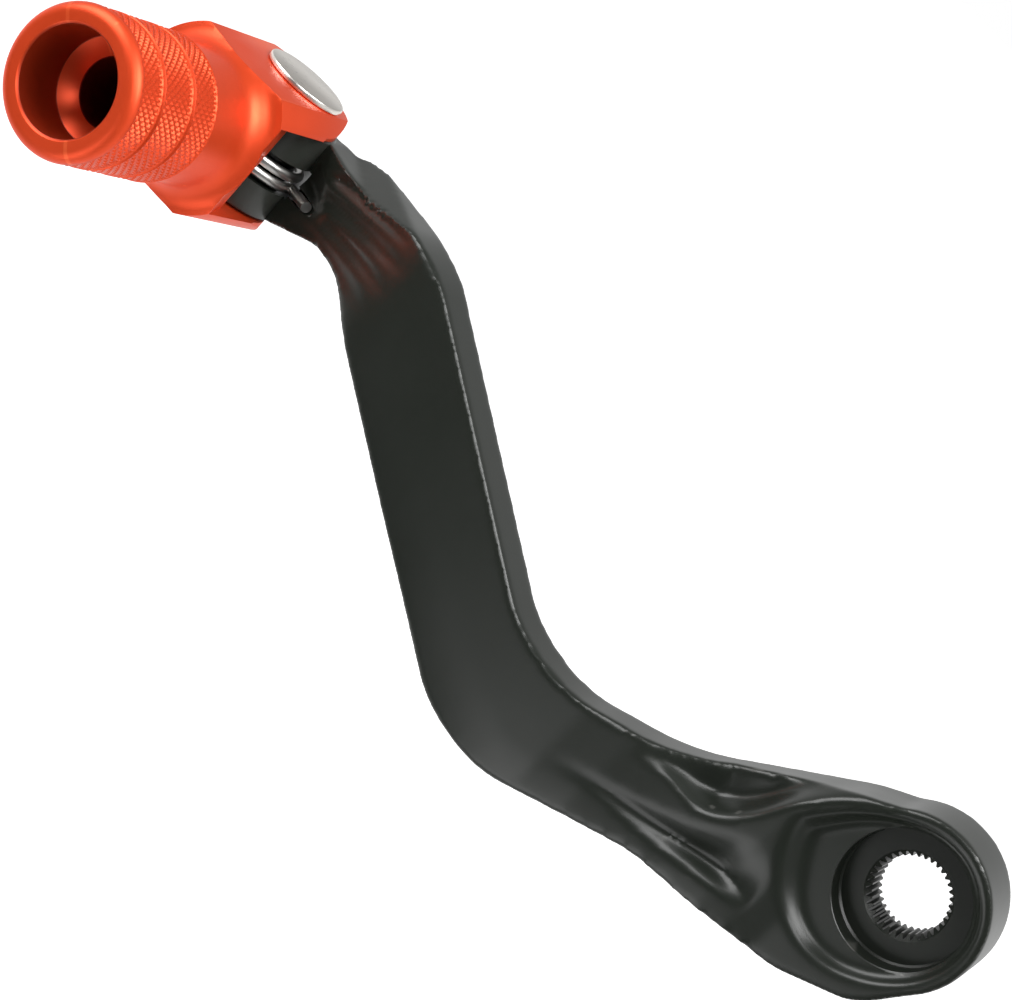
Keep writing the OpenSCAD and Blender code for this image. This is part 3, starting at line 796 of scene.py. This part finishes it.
# ---------------------------------------------------------------------------
# Studio: a plain pale floor and white surround, with soft panels. The side
# towards the camera is dark, so that the black gloss reads as black.
# ---------------------------------------------------------------------------
bm = bmesh.new()
bmesh.ops.create_grid(bm, x_segments=1, y_segments=1, size=20)
bmesh.ops.translate(bm, verts=bm.verts, vec=(0, 0, -0.3))
floor = piece("studio_floor", bm)
paper = bpy.data.materials.new("studio_floor")
paper.use_nodes = True
shader = paper.node_tree.nodes["Principled BSDF"]
shader.inputs["Base Color"].default_value = (0.95, 0.95, 0.95, 1)
shader.inputs["Roughness"].default_value = 1.0
shader.inputs["Emission Color"].default_value = (1, 1, 1, 1)
shader.inputs["Emission Strength"].default_value = 0.9
floor.data.materials.append(paper)
floor.visible_glossy = False

world = bpy.data.worlds.new("studio")
bpy.context.scene.world = world
world.use_nodes = True
nodes, links = world.node_tree.nodes, world.node_tree.links
surround = nodes["Background"]
direction = nodes.new("ShaderNodeTexCoord")
parts = nodes.new("ShaderNodeSeparateXYZ")
links.new(direction.outputs["Generated"], parts.inputs["Vector"])
fade = nodes.new("ShaderNodeMapRange")
fade.interpolation_type = "SMOOTHSTEP"
fade.inputs["From Min"].default_value = -0.1
fade.inputs["From Max"].default_value = 0.55
fade.inputs["To Min"].default_value = 1.0
fade.inputs["To Max"].default_value = 0.05
links.new(parts.outputs["Y"], fade.inputs["Value"])
path = nodes.new("ShaderNodeLightPath")
dim_above = nodes.new("ShaderNodeMapRange")
dim_above.interpolation_type = "SMOOTHSTEP"
dim_above.inputs["From Min"].default_value = -0.15
dim_above.inputs["From Max"].default_value = 0.5
dim_above.inputs["To Min"].default_value = 1.0
dim_above.inputs["To Max"].default_value = 0.35
links.new(parts.outputs["Z"], dim_above.inputs["Value"])
dimmed = nodes.new("ShaderNodeMath")
dimmed.operation = "MULTIPLY"
links.new(fade.outputs["Result"], dimmed.inputs[0])
links.new(dim_above.outputs["Result"], dimmed.inputs[1])
seen = nodes.new("ShaderNodeMath")
seen.operation = "MAXIMUM"
links.new(path.outputs["Is Camera Ray"], seen.inputs[0])
links.new(dimmed.outputs["Value"], seen.inputs[1])
links.new(seen.outputs["Value"], surround.inputs["Strength"])
surround.inputs["Color"].default_value = (1, 1, 1, 1)


def panel(name, centre, target, width, height, power):
    """A soft panel light that faces a target."""
    light = bpy.data.lights.new(name, "AREA")
    light.shape, light.size, light.size_y = "RECTANGLE", width, height
    light.energy = power
    lamp = bpy.data.objects.new(name, light)
    lamp.location = centre
    lamp.rotation_euler = (Vector(target) - Vector(centre)).to_track_quat("-Z", "Y").to_euler()
    bpy.context.scene.collection.objects.link(lamp)


panel("low_panel", (0.075, 0.33, -0.31), (0.06, 0, -0.02), 0.2, 0.36, 0.58)
panel("left_panel", (0.46, 0.27, 0.30), (0.15, 0, 0), 0.4, 0.4, 3.4)
panel("top_panel", (-0.25, 0.05, 0.5), (0.07, 0, 0), 0.4, 0.4, 5.2)
panel("front_top_panel", (-0.12, 0.4, 0.42), (0.09, 0, 0), 0.25, 0.25, 1.5)

camera_data = bpy.data.cameras.new("camera")
camera_data.lens = 87.8
camera_data.sensor_width = 36
camera = bpy.data.objects.new("camera", camera_data)
camera.location = (-0.0191, 0.3383, 0.0978)
camera.rotation_euler = [math.radians(a) for a in (67.9, -41.56, -148.27)]
bpy.context.scene.collection.objects.link(camera)
bpy.context.scene.camera = camera
bpy.context.scene.view_settings.view_transform = "Standard"
